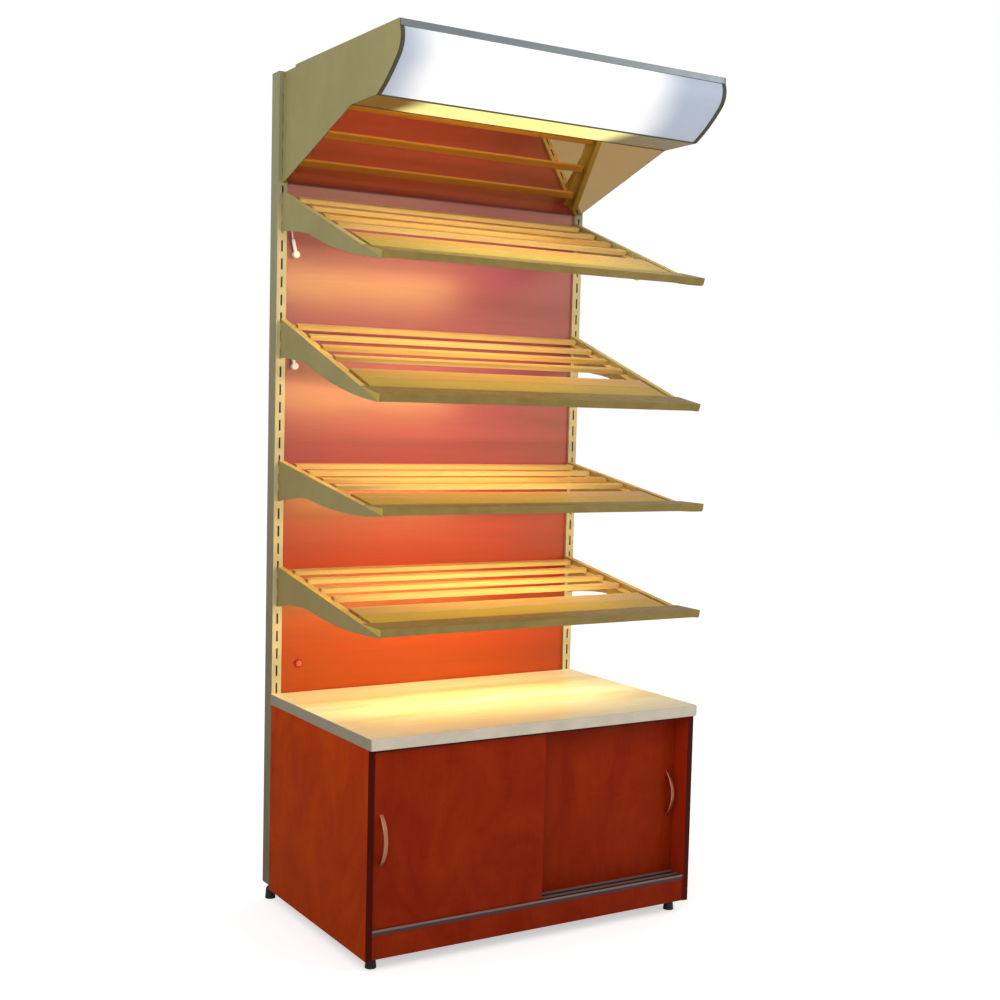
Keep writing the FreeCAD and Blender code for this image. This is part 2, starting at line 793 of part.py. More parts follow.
def make_socket(shelf):
    socket = cylinder(socket_diameter / 2, socket_depth, socket_centre(shelf), Vector(0, -1, 0))
    front = [e for e in socket.Edges if len(e.Vertexes) == 1 and
             abs(e.BoundBox.YMin - (socket_centre(shelf).y - socket_depth)) < 0.01]
    return socket.makeFillet(upright_wall, front)


def plug_axis(shelf):
    """Lower and upper end of a plug's centre line; it leans in the panel's plane."""
    lean = math.radians(plug_lean)
    along = Vector(-math.sin(lean), 0, math.cos(lean))
    low = socket_centre(shelf) + Vector(0, -socket_depth / 2, 0) + along * (socket_diameter / 4)
    return low, along


def make_plug(shelf):
    low, along = plug_axis(shelf)
    plug = cylinder(plug_diameter / 2, plug_length, low, along)
    upper = max((e for e in plug.Edges if len(e.Vertexes) == 1), key=lambda e: e.CenterOfMass.z)
    plug = plug.makeFillet(upright_wall, [upper])
    return plug.cut(make_socket(shelf))


def make_lead(shelf):
    """From the underside of the supply box, square to it, down into the plug."""
    low, along = plug_axis(shelf)
    end = low + along * plug_length
    start = shelf.point(end.x, supply_box_along + supply_box_length / 2,
                        -shelf_lamp_drop - supply_box_height)
    out = shelf.lamp_mount().out
    run = lead_run_share * (end - start).Length
    return rounded_lead([start, start + out * run, end + along * run, end], lead_diameter)


def build_leads():
    save("lead_sockets", [make_socket(shelf) for shelf in supplied_shelves()])
    save("lead_plugs", [make_plug(shelf) for shelf in supplied_shelves()])
    save("lamp_leads", [make_lead(shelf) for shelf in supplied_shelves()])


# ---- cabinet ----
def make_cabinet_side():
    side = box(board_inner, outer_half, 0, cabinet_depth, foot_height, carcass_top)
    pins = [cylinder(pin_diameter / 2, pin_length / 2, place(board_inner, forward, pin_centre()),
                     Vector(1, 0, 0))
            for forward in pin_places()]
    return side.cut(Part.makeCompound(pins))


def pin_centre():
    return inner_shelf_height - board - pin_diameter / 2


def pin_places():
    return (back_board + pin_inset, inner_shelf_front - pin_inset)


def make_cabinet_floor():
    floor = box(-board_inner, board_inner, 0, plinth_front - plinth_thickness,
                cabinet_floor - board, cabinet_floor)
    holes = [cylinder(stem_diameter / 2 + stem_clearance, 2 * board,
                      place(across, forward, cabinet_floor - 1.5 * board), Vector(0, 0, 1))
             for across, forward in cabinet_foot_places()]
    return floor.cut(Part.makeCompound(holes))


def cabinet_foot_places():
    """Under both front corners; the cabinet's rear rests against the uprights."""
    across = outer_half - foot_inset_side
    return [(side * across, foot_forward) for side in (-1, 1)]


def make_foot(across, forward, pad_height, stem_top):
    """Levelling foot: a tall pad, a cone and a threaded stem, turned about one axis."""
    pad = foot_diameter / 2
    stem = stem_diameter / 2
    neck = pad_height + foot_neck
    outline = [(0, 0), (pad, 0), (pad - foot_taper, pad_height), (stem + foot_shoulder, neck),
               (stem, neck), (stem, stem_top), (0, stem_top)]
    points = [Vector(radius, 0, height) for radius, height in outline]
    face = Part.Face(Part.makePolygon(points + points[:1]))
    foot = face.revolve(Vector(0, 0, 0), Vector(0, 0, 1), 360)
    foot.translate(place(across, forward, 0))
    return foot


def make_worktop():
    """Board and its edge band: the band wraps the front and both ends round the front corners."""
    half = outer_half + worktop_overhang
    slab = box(-half, half, 0, worktop_depth, carcass_top, worktop_top)
    front_corners = [e for e in slab.Edges if abs(e.tangentAt(e.FirstParameter).z) > 0.99
                     and e.CenterOfMass.y < post_face_y - worktop_depth / 2]
    slab = slab.makeFillet(worktop_corner, front_corners)
    core = box(-half + band, half - band, 0, worktop_depth - band, carcass_top, worktop_top)
    core_corners = [e for e in core.Edges if abs(e.tangentAt(e.FirstParameter).z) > 0.99
                    and e.CenterOfMass.y < post_face_y - worktop_depth / 2]
    core = core.makeFillet(worktop_corner - band, core_corners)
    rims = [e for e in slab.Edges if abs(e.tangentAt(e.FirstParameter).z) < 0.01
            and e.CenterOfMass.y < post_face_y - 1]
    return core, slab.makeFillet(band_edge, rims).cut(core)


def make_track(base, rib_end):
    """Double channel for the two doors; the base is the plate, the ribs end at rib_end."""
    sign = 1 if rib_end > base else -1
    floor_low, floor_high = sorted((base, base + sign * track_sheet))
    track = box(-board_inner, board_inner, rear_track_rib - track_sheet,
                front_track_rib + track_sheet, floor_low, floor_high)
    gap = door_thickness + 2 * door_track_gap
    faces = (rear_track_rib - track_sheet, rear_track_rib + gap,
             front_track_rib - gap - track_sheet, front_track_rib)
    rib_low, rib_high = sorted((base, rib_end))
    ribs = [box(-board_inner, board_inner, face, face + track_sheet, rib_low, rib_high) for face in faces]
    return track.fuse(ribs).removeSplitter()


class Door:
    """One sliding door: its outer edge, the way to its middle edge and its face."""

    def __init__(self, side, face):
        self.side = side
        self.face = face
        self.outer = side * (board_inner - door_side_gap)
        self.inner = self.outer - side * door_width
        self.low, self.high = sorted((self.outer, self.inner))
        self.middle = face - door_thickness / 2
        self.handle = self.outer - side * handle_inset

    def glide_places(self):
        return (self.low + glide_inset, self.high - glide_inset)

    def stem(self, centre, z0, z1):
        return box(centre - glide_length / 2, centre + glide_length / 2,
                   self.middle - glide_stem / 2, self.middle + glide_stem / 2, z0, z1)


def make_door(door):
    panel = box(door.low, door.high, door.face - door_thickness, door.face, door_bottom, door_top)
    panel = panel.makeFillet(door_edge, panel.Edges)
    pockets = []
    for centre in door.glide_places():
        pockets.append(door.stem(centre, door_bottom - 1, door_bottom + glide_stem_height))
        pockets.append(door.stem(centre, door_top - glide_stem_height, door_top + 1))
    return panel.cut(Part.makeCompound(pockets))


def make_glides(door):
    """Two bottom shoes and two top guides, each with a stem in the door's edge."""
    half = door_thickness / 2 + door_track_gap - glide_clearance
    glides = []
    for centre in door.glide_places():
        for stem_z, shoe_z in (((door_bottom, door_bottom + glide_stem_height),
                                (cabinet_floor + track_sheet + fit_gap, door_bottom)),
                               ((door_top - glide_stem_height, door_top),
                                (door_top, carcass_top - track_sheet - fit_gap))):
            shoe = box(centre - glide_length / 2, centre + glide_length / 2,
                       door.middle - half, door.middle + half, *shoe_z)
            glides.append(shoe.fuse(door.stem(centre, *stem_z)).removeSplitter())
    return glides


def make_handle(door):
    """Bow handle: the space between two arcs that spring from the door's face."""
    low = handle_low_height
    high = handle_low_height + handle_length
    centre = (low + high) / 2
    points = [place(0, door.face, low), place(0, door.face + handle_reach, centre),
              place(0, door.face, high), place(0, door.face, high - handle_root),
              place(0, door.face + handle_reach - handle_waist, centre),
              place(0, door.face, low + handle_root)]
    outer = Part.Arc(*points[:3]).toShape()
    inner = Part.Arc(*points[3:]).toShape()
    edges = [outer, Part.makeLine(points[2], points[3]), inner, Part.makeLine(points[5], points[0])]
    bow = extrude_edges(edges, door.handle - handle_width / 2, door.handle + handle_width / 2)
    long_edges = [e for e in bow.Edges if e.Length > handle_length / 2]
    return bow.makeFillet(handle_edge, long_edges)


def build_cabinet():
    side = make_cabinet_side()
    worktop, edge_band = make_worktop()
    save("cabinet_side_right", side)
    save("cabinet_side_left", mirrored(side))
    save("cabinet_floor", make_cabinet_floor())
    save("cabinet_back", box(-board_inner, board_inner, 0, back_board, cabinet_floor, carcass_top))
    save("plinth", box(-board_inner, board_inner, plinth_front - plinth_thickness, plinth_front,
                       foot_height, cabinet_floor))
    save("inner_shelf", box(-board_inner + shelf_gap, board_inner - shelf_gap,
                            back_board + shelf_gap, inner_shelf_front,
                            inner_shelf_height - board, inner_shelf_height))
    save("shelf_pins", [cylinder(pin_diameter / 2, pin_length,
                                 place(side_sign * (board_inner + pin_length / 2), forward, pin_centre()),
                                 Vector(-side_sign, 0, 0))
                        for side_sign in (-1, 1) for forward in pin_places()])
    save("worktop", worktop)
    save("worktop_edge_band", edge_band)
    save("bottom_track", make_track(cabinet_floor, cabinet_floor + bottom_track_height))
    save("top_track", make_track(carcass_top, carcass_top - top_track_height))
    for name, door in (("front", Door(-1, front_door_face)), ("rear", Door(1, rear_door_face))):
        save(name + "_door", make_door(door))
        save(name + "_door_glides", make_glides(door))
        save(name + "_door_handle", make_handle(door))
    feet = [make_foot(across, forward, foot_pad, cabinet_stem_top)
            for across, forward in cabinet_foot_places()]
    feet += [make_foot(side_sign * half_module, -upright_depth / 2, upright_foot_pad, upright_stem_top)
             for side_sign in (-1, 1)]
    save("levelling_feet", feet)


# ---- switch ----
def build_switch():
    face = place(-switch_across, -panel_recess, switch_height)
    inwards = Vector(0, 1, 0)
    bezel = cylinder(bezel_diameter / 2, bezel_thickness, face - inwards * bezel_thickness, inwards)
    barrel = cylinder(barrel_diameter / 2, barrel_length, face, inwards)
    bore_depth = button_length - button_stand + button_travel + fit_gap
    bore = cylinder(button_diameter / 2 + fit_gap, bore_depth,
                    face - inwards * bezel_thickness, inwards)
    save("switch_housing", bezel.fuse(barrel).cut(bore))
    front = face - inwards * (bezel_thickness + button_stand)
    button = cylinder(button_diameter / 2, button_length, front, inwards)
    rim = [e for e in button.Edges if len(e.Vertexes) == 1 and abs(e.BoundBox.YMax - front.y) < 0.01]
    save("switch_button", button.makeFillet(upright_wall, rim))


os.makedirs("parts", exist_ok=True)
build_frame()
build_canopy()
build_lamps()
build_shelves()
build_leads()
build_cabinet()
build_switch()
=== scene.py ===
import json
import math

import bmesh
import bpy
from mathutils import Matrix, Vector


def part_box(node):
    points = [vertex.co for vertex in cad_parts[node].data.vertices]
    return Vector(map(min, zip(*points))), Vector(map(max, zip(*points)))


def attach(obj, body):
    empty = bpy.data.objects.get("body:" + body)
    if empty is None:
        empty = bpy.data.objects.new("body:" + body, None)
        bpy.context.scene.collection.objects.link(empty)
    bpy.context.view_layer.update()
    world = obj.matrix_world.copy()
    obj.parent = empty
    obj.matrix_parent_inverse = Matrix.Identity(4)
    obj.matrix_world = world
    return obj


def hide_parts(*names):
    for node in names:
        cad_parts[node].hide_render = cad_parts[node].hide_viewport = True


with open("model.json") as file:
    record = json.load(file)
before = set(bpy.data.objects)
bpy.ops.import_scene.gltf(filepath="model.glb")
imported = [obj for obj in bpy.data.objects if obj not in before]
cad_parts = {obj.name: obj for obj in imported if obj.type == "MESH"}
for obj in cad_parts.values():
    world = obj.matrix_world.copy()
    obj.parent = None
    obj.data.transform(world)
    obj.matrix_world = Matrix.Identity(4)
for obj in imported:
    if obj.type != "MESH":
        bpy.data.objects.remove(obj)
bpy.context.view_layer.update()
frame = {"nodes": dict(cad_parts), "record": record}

# The rack stands on the floor at Z = 0 and faces -Y. All lengths are in metres.

# ---- camera: place, angles in degrees and lens ----
CAMERA_PLACE = (-2.08753, -3.46292, 1.40373)
CAMERA_YAW = 31.37
CAMERA_PITCH = -4.27
CAMERA_ROLL = 1.39
CAMERA_LENS = 51.714
CAMERA_SHIFT = (0.00437, 0.02537)
SENSOR = 36.0

# ---- lamp leads: centre lines from the supply boxes down into the plugs ----
LEAD_DIAMETER = 0.005
LEADS = {
    "lead_upper": (0.0892, ((-0.4667, 0.2992, 1.9719), (-0.4667, 0.3111, 1.9398),
                            (-0.4744, 0.3240, 1.9233), (-0.4667, 0.3240, 1.8899))),
    "lead_lower": (0.0556, ((-0.4667, 0.2992, 1.6219), (-0.4667, 0.3062, 1.6030),
                            (-0.4712, 0.3240, 1.5976), (-0.4667, 0.3240, 1.5779))),
}

# ---- shelves: tilt in degrees and how a slat lies on its ledges ----
SHELF_TILTS = {1: 20.3, 2: 20.3, 3: 9.6, 4: 9.6}
SLAT_HALF_THICKNESS = 0.007
LEDGE_SHEET = 0.002
LEDGE_MIDDLE = 0.007

# ---- heights between which a colour changes; all but the last fade in painted light or shade ----
OLIVE_PAINTED_LIGHT_FADE = (0.7, 2.1)
UPRIGHT_FRONT_SHADE_FADE = (1.93, 2.03)
UPRIGHT_SIDE_SHADE_FADE = (0.1, 2.2)
PANEL_SHEEN_FADE = (0.88, 1.52)
CABINET_SHADE_FADE = (0.60, 0.05)
TRACK_FRONT_EDGE = (0.104, 0.103)       # dark brown front below, bright edge of the bottom track above

# ---- lit pieces: bright as far off the centre in X as the first number, dull from the second ----
FRONT_FADE = (0.28, 0.45)
FRONT_CENTRE = -0.06
STRIP_FADE = (0.27, 0.36)
STRIP_CENTRE = -0.05
TUBE_FADE = (0.36, 0.42)

# ---- grain of the finishes, in cells per metre; three numbers are along X, Y and Z ----
PEEL_GRAIN = 1400.0
SPARK_GRAIN = 2200.0
BRUSHED_ALONG_X = (6.0, 2600.0, 2600.0)
BRUSHED_ALONG_Z = (2600.0, 2600.0, 6.0)
PORES_ALONG_X = (9.0, 420.0, 420.0)
PORES_ALONG_Z = (420.0, 420.0, 12.0)

# ---- small turned pieces: outlines of (way along the axis, radius) ----
# a rib's outline is added to its own start and radius, a tube cap's to the tube's radius
TURN_STEPS = 28
SCREW_STEPS = 20
GROMMET_FLANGE = ((0.0, 0.0052), (0.0012, 0.0054), (0.0022, 0.0050))
GROMMET_TIP = ((0.0128, 0.0029), (0.0134, 0.0026))
GROMMET_RIBS = 4
GROMMET_RIB = ((0.0, -0.0007), (0.0008, -0.0007), (0.0010, 0.0), (0.0018, 0.0))
GROMMET_RIB_START = 0.0030
GROMMET_RIB_PITCH = 0.0024
GROMMET_RIB_RADIUS = 0.0046
GROMMET_TAPER = 0.0004                  # radius lost from one rib to the next
TUBE_CAP = ((0.0, 0.0003), (0.0125, 0.0003), (0.0133, 0.0001), (0.0136, -0.0004))
TUBE_CAP_INSET = 0.0002
SCREW = ((0.0, 0.0036), (0.0010, 0.0036), (0.0018, 0.0031), (0.0023, 0.0020), (0.0024, 0.0014),
         (0.0014, 0.0012), (0.0013, 0.0004))
WELD_DISTANCE = 1e-6

# ---- colours, as sRGB of 0 to 255 ----
OLIVE = (166, 157, 104)
# darker, warmer olive low down: painted warm shade
OLIVE_LOW_SHADED = (150, 130, 76)
UPRIGHT_FRONT = (200, 184, 138)
# the shaded front tone is painted shade beside the canopy; the low side tone is painted shade
UPRIGHT_SHADED = (150, 145, 106)
UPRIGHT_SIDE = (156, 153, 114)
UPRIGHT_SIDE_SHADED_LOW = (98, 86, 50)
CREAM = (226, 212, 170)
WARM_WHITE = (232, 229, 220)
CHERRY = (160, 48, 10)
CHERRY_DARK = (142, 34, 6)
# brighter, more orange cherry of the left board: painted light from the left
CHERRY_LEFT_LIT = (188, 66, 0)
CHERRY_LEFT_LIT_DARK = (166, 48, 0)
# the right board's faces towards -X: painted light
CHERRY_INNER_LIT = (176, 46, 18)
EDGE_BROWN = (74, 20, 14)
TRACK_METAL = (128, 106, 98)
TRACK_BROWN = (70, 30, 34)
PANEL_LOW = (174, 50, 2)
# pinker upper tone: painted reflection of the room
PANEL_HIGH_SHEEN = (156, 74, 92)
PANEL_GLOSS = (255, 226, 150)
BEECH = (204, 164, 86)
BEECH_DARK = (184, 136, 60)
BEECH_PALE = (222, 194, 128)
BEECH_END = (176, 130, 58)
# painted lamp light on the brackets' upward faces, shelf by shelf
BRACKET_TOPS_LIT = {1: (196, 178, 108), 2: (222, 188, 108), 3: (226, 188, 104), 4: (226, 186, 98)}
# yellower olive of the front rails: painted warm lamp light, brighter still low down
RAIL_OLIVE_LIT = (186, 162, 84)
RAIL_OLIVE_LIT_LOW = (204, 172, 70)
WORKTOP = (244, 240, 198)
WORKTOP_DARK = (238, 220, 150)
BAND_FRONT = (214, 202, 182)
# the band's sides: painted shade
BAND_SIDE_SHADE = (142, 132, 112)
ALUMINIUM = (160, 168, 170)
COPPER = (204, 138, 102)
STRIP_OLIVE = (142, 122, 68)
TRIM_DARK = (84, 82, 66)
BLACK = (24, 23, 22)
CAP_GREY = (128, 126, 98)
SWITCH_RED = (226, 84, 44)
BEZEL_RED = (150, 30, 14)
LAMP_WARM = (255, 230, 178)
LAMP_PLAIN = (255, 248, 238)
LAMP_COOL = (126, 141, 162)
LAMP_WHITE = (238, 238, 236)
OPAL_FRONT = (150, 150, 154)
OPAL_STRIP = (124, 108, 44)
STRIP_LIT = (250, 244, 158)
STRIP_ENDS = (60, 44, 14)
TUBE_LIT = (255, 240, 205)
TUBE_ENDS = (255, 206, 150)
MIRROR_TINT = (210, 168, 100)
ZINC = (176, 178, 180)
LEAD_WHITE = (224, 200, 190)
FLOOR_PALE = (244, 244, 243)
WHITE = (255, 255, 255)

# ---- floor and studio lights ----
FLOOR_LIFT = 0.52
FLOOR_REACH = 160.0
WORLD_FILL = 0.58
KEY_PLACE = (-3.2, -3.4, 3.4)
KEY_SIZE = (3.0, 3.0)
KEY_POWER = 70.0
SIDE_PLACE = (3.4, -2.6, 2.2)
SIDE_SIZE = (2.5, 3.0)
SIDE_POWER = 30.0
STUDIO_AIM = (0.0, 0.0, 1.1)

# ---- the rack's own lights ----
TUBE_GLOW = 2.5
STRIP_LIGHT_POWER = 2.4
STRIP_LIGHT_LENGTH = 0.70
STRIP_LIGHT_MARGIN = 0.03               # how much slimmer it is than its diffuser
STRIP_LIGHT_DROP = 0.008
SHELF_LIGHT_STAND = 0.006               # off the tube's surface
# power, length and middle of each shelf's light, from the lowest upwards
SHELF_LIGHTS = ((2.45, 0.80, 0.0), (1.85, 0.62, 0.0), (2.2, 0.64, -0.05), (2.4, 0.66, -0.06))
SHELF_LIGHT_WIDTH = 0.03
SHELF_LIGHT_TILT = 48.0                 # degrees from straight down towards the panel


def linear(colour):
    """An sRGB colour of 0 to 255 as a linear RGBA colour."""
    channels = [c / 255 for c in colour]
    red, green, blue = (c / 12.92 if c <= 0.04045 else ((c + 0.055) / 1.055) ** 2.4
                        for c in channels)
    return red, green, blue, 1.0


# ---- materials ----
class Paint:
    """A material's node tree with short ways to add and link nodes."""

    def __init__(self, name):
        self.material = bpy.data.materials.new(name)
        self.material.use_nodes = True
        self.nodes = self.material.node_tree.nodes
        self.links = self.material.node_tree.links
        self.shader = self.nodes["Principled BSDF"]
        self.place = self.add("ShaderNodeTexCoord").outputs["Object"]

    def add(self, kind, **settings):
        """Adds a node of a kind with its settings."""
        node = self.nodes.new(kind)
        for key, value in settings.items():
            setattr(node, key, value)
        return node

    def set(self, **sockets):
        """Sets sockets of the shader; an underscore in a name stands for a space."""
        for key, value in sockets.items():
            self.shader.inputs[key.replace("_", " ")].default_value = value

    def stretched(self, scale):
        """Object coordinates scaled along each axis."""
        mapping = self.add("ShaderNodeMapping")
        mapping.inputs["Scale"].default_value = scale
        self.links.new(self.place, mapping.inputs["Vector"])
        return mapping.outputs["Vector"]

    def noise(self, scale, detail=3.0, roughness=0.55, distortion=0.0):
        """Noise over the object; scale is one number or one per axis, in cells per metre."""
        whole = isinstance(scale, (int, float))
        node = self.add("ShaderNodeTexNoise")
        node.inputs["Scale"].default_value = scale if whole else 1.0
        node.inputs["Detail"].default_value = detail
        node.inputs["Roughness"].default_value = roughness
        node.inputs["Distortion"].default_value = distortion
        self.links.new(self.place if whole else self.stretched(scale), node.inputs["Vector"])
        return node.outputs["Fac"]

    def ramp(self, value, low, high, to_low=0.0, to_high=1.0):
        """The value's way from low to high as a number from to_low to to_high."""
        node = self.add("ShaderNodeMapRange")
        limits = {"From Min": low, "From Max": high, "To Min": to_low, "To Max": to_high}
        for key, number in limits.items():
            node.inputs[key].default_value = number
        self.links.new(value, node.inputs["Value"])
        return node.outputs["Result"]

    def mix(self, factor, first, second, blend="MIX"):
        """Mixes two colours, each a tuple or a socket, by a socket's factor."""
        node = self.add("ShaderNodeMix", data_type="RGBA", blend_type=blend)
        self.links.new(factor, node.inputs["Factor"])
        for name, colour in (("A", first), ("B", second)):
            socket = [s for s in node.inputs if s.name == name and s.type == "RGBA"][0]
            if isinstance(colour, tuple):
                socket.default_value = colour
            else:
                self.links.new(colour, socket)
        return [s for s in node.outputs if s.type == "RGBA"][0]

    def math(self, operation, first, second=None):
        """Arithmetic on one or two numbers or sockets."""
        node = self.add("ShaderNodeMath", operation=operation)
        for socket, value in zip(node.inputs, (first, second)):
            if isinstance(value, (int, float)):
                socket.default_value = value
            elif value is not None:
                self.links.new(value, socket)
        return node.outputs["Value"]

    def patchy(self, tone, factor, share):
        """The tone, darker by a share where the factor is 1."""
        grey = (1.0 - share, 1.0 - share, 1.0 - share, 1.0)
        return self.mix(factor, tone, grey, "MULTIPLY")

    def colour(self, socket):
        """Links the base colour."""
        self.links.new(socket, self.shader.inputs["Base Color"])

    def roughness(self, socket):
        """Links the roughness."""
        self.links.new(socket, self.shader.inputs["Roughness"])

    def bump(self, height, strength, distance):
        """Links the normal to a bump of a height."""
        node = self.add("ShaderNodeBump")
        node.inputs["Strength"].default_value = strength
        node.inputs["Distance"].default_value = distance
        self.links.new(height, node.inputs["Height"])
        self.links.new(node.outputs["Normal"], self.shader.inputs["Normal"])

    def facing(self, axis):
        """How far the surface faces along an axis, -1 to 1."""
        return self.part(self.add("ShaderNodeNewGeometry").outputs["Normal"], axis)

    def sideways(self, axis, low, high):
        """From 0 to 1 as the surface turns towards either way of an axis."""
        return self.ramp(self.math("ABSOLUTE", self.facing(axis)), low, high)

    def position(self, axis):
        """The place along an axis, in metres."""
        return self.part(self.place, axis)

    def part(self, vector, axis):
        """One part of a vector."""
        split = self.add("ShaderNodeSeparateXYZ")
        self.links.new(vector, split.inputs["Vector"])
        return split.outputs[axis]

    def orange_peel(self, smooth, rough, gloss):
        """Surface of a powder coat."""
        self.roughness(self.ramp(self.noise(38.0), 0.3, 0.7, smooth, rough))
        self.bump(self.noise(PEEL_GRAIN, detail=1.0), 0.18, 0.0002)
        self.set(Specular_IOR_Level=gloss)

    def spark_texture(self, smooth, rough, gloss):
        """Surface of moulded plastic."""
        self.roughness(self.ramp(self.noise(60.0), 0.3, 0.7, smooth, rough))
        self.bump(self.noise(SPARK_GRAIN, detail=1.0), 0.15, 0.0001)
        self.set(Specular_IOR_Level=gloss)


def powder_coat(name, colour, low=None, upper=None, edge=None):
    """Satin powder coat: orange peel, faint unevenness and, with a low colour, painted warm light
    and shade that changes its tone downwards.

    An upper colour is painted lamp light on the faces that look up; an edge colour covers all the
    faces that don't face sideways."""
    paint = Paint(name)
    tone = linear(colour)
    if low:
        # painted warm light and shade: the tone turns into the low colour downwards
        tone = paint.mix(paint.ramp(paint.position("Z"), *OLIVE_PAINTED_LIGHT_FADE), linear(low), tone)
    if upper:
        # painted lamp light on the faces that look up
        tone = paint.mix(paint.ramp(paint.facing("Z"), 0.75, 0.9), tone, linear(upper))
    if edge:
        tone = paint.mix(paint.sideways("X", 0.7, 0.3), tone, linear(edge))
    paint.colour(paint.patchy(tone, paint.ramp(paint.noise(5.0, detail=4.0), 0.35, 0.7), 0.14))
    paint.orange_peel(0.36, 0.50, 0.12)
    return paint.material


def upright_coat(name):
    """Cream coat with painted shade beside the canopy, and olive side faces with painted shade
    that deepens downwards.
    """
    paint = Paint(name)
    height = paint.position("Z")
    # painted shade: greyer front beside the canopy, side faces darker downwards
    front_shade = paint.ramp(height, *UPRIGHT_FRONT_SHADE_FADE)
    side_shade = paint.ramp(height, *UPRIGHT_SIDE_SHADE_FADE)
    front = paint.mix(front_shade, linear(UPRIGHT_FRONT), linear(UPRIGHT_SHADED))
    side = paint.mix(side_shade, linear(UPRIGHT_SIDE_SHADED_LOW), linear(UPRIGHT_SIDE))
    scuffs = paint.ramp(paint.noise((30.0, 30.0, 9.0), detail=5.0), 0.5, 0.75)
    paint.colour(paint.patchy(paint.mix(paint.sideways("X", 0.6, 0.9), front, side), scuffs, 0.12))
    paint.orange_peel(0.38, 0.52, 0.28)
    return paint.material


def cherry_board(name, banded, light=CHERRY, dark=CHERRY_DARK, inner=False, gloss=0.05):
    """Cherry melamine: mottled figure, fine upright pores, painted shade low down, dark edge
    bands.

    The bands are on the faces towards the banded axis. An inner board gets painted light on its
    faces towards -X."""
    paint = Paint(name)
    figure = paint.noise((7.0, 7.0, 4.0), detail=6.0, roughness=0.62, distortion=1.1)
    flecks = paint.noise((26.0, 26.0, 95.0), detail=3.0, distortion=0.4)
    pores = paint.noise(PORES_ALONG_Z, detail=2.0)
    base = paint.mix(paint.ramp(figure, 0.32, 0.68), linear(dark), linear(light))
    # painted light on the faces towards -X
    if inner:
        towards = paint.ramp(paint.math("MULTIPLY", paint.facing("X"), -1.0), 0.7, 0.9)
        base = paint.mix(towards, base, linear(CHERRY_INNER_LIT))
    base = paint.patchy(base, paint.ramp(flecks, 0.55, 0.75), 0.12)
    base = paint.patchy(base, paint.ramp(pores, 0.45, 0.8), 0.16)
    # painted shade: darker low down
    base = paint.patchy(base, paint.ramp(paint.position("Z"), *CABINET_SHADE_FADE), 0.22)
    paint.colour(paint.mix(paint.sideways(banded, 0.80, 0.95), base, linear(EDGE_BROWN)))
    paint.roughness(paint.ramp(figure, 0.2, 0.8, 0.34, 0.48))
    paint.bump(pores, 0.12, 0.0002)
    paint.set(Specular_IOR_Level=gloss)
    return paint.material


def panel_board(name):
    """Reddish laminate whose long faint figure runs along X, pinker towards the top as a painted
    reflection of the room.
    """
    paint = Paint(name)
    figure = paint.noise((1.0, 14.0, 14.0), detail=6.0, roughness=0.6, distortion=0.8)
    pores = paint.noise(PORES_ALONG_X, detail=2.0)
    # painted reflection: pinker towards the top
    painted_sheen = paint.ramp(paint.position("Z"), *PANEL_SHEEN_FADE)
    base = paint.mix(painted_sheen, linear(PANEL_LOW), linear(PANEL_HIGH_SHEEN))
    base = paint.patchy(base, paint.ramp(figure, 0.42, 0.72), 0.20)
    base = paint.patchy(base, paint.ramp(pores, 0.45, 0.8), 0.10)
    paint.colour(base)
    paint.roughness(paint.ramp(figure, 0.2, 0.8, 0.28, 0.35))
    paint.bump(pores, 0.10, 0.0002)
    paint.set(Specular_IOR_Level=1.0, Specular_Tint=linear(PANEL_GLOSS))
    return paint.material


def worktop_board(name):
    """Pale beech laminate with soft golden streaks along X."""
    paint = Paint(name)
    figure = paint.noise((1.6, 9.0, 9.0), detail=5.0, roughness=0.6, distortion=0.7)
    pores = paint.noise(PORES_ALONG_X, detail=2.0)
    base = paint.mix(paint.ramp(figure, 0.40, 0.66), linear(WORKTOP), linear(WORKTOP_DARK))
    paint.colour(paint.patchy(base, paint.ramp(pores, 0.45, 0.8), 0.10))
    paint.roughness(paint.ramp(figure, 0.2, 0.8, 0.30, 0.42))
    paint.bump(pores, 0.12, 0.0002)
    return paint.material


def edge_band(name):
    """Worktop's plastic band, pale towards the front, with painted shade in grey-brown on its
    sides.
    """
    paint = Paint(name)
    # painted shade on the faces towards X
    base = paint.mix(paint.sideways("X", 0.5, 0.9), linear(BAND_FRONT), linear(BAND_SIDE_SHADE))
    paint.colour(paint.patchy(base, paint.ramp(paint.noise(16.0, detail=4.0), 0.4, 0.7), 0.12))
    paint.spark_texture(0.36, 0.50, 0.3)
    return paint.material


def slat_wood(name):
    """Lacquered beech along X, a little different from slat to slat, with short ray flecks."""
    paint = Paint(name)
    figure = paint.noise((2.2, 60.0, 60.0), detail=6.0, roughness=0.6, distortion=0.6)
    flecks = paint.noise((70.0, 900.0, 900.0), detail=1.0)
    between = paint.noise((0.01, 14.0, 14.0), detail=0.0)
    base = paint.mix(paint.ramp(figure, 0.3, 0.7), linear(BEECH_DARK), linear(BEECH))
    base = paint.mix(paint.ramp(between, 0.3, 0.7, 0.0, 0.40), base, linear(BEECH_PALE))
    base = paint.mix(paint.ramp(flecks, 0.62, 0.75, 0.0, 0.35), base, linear(BEECH_DARK))
    paint.colour(paint.mix(paint.sideways("X", 0.7, 0.9), base, linear(BEECH_END)))
    paint.roughness(paint.ramp(figure, 0.2, 0.8, 0.32, 0.46))
    paint.bump(figure, 0.10, 0.0003)
    paint.set(Specular_IOR_Level=0.3)
    return paint.material


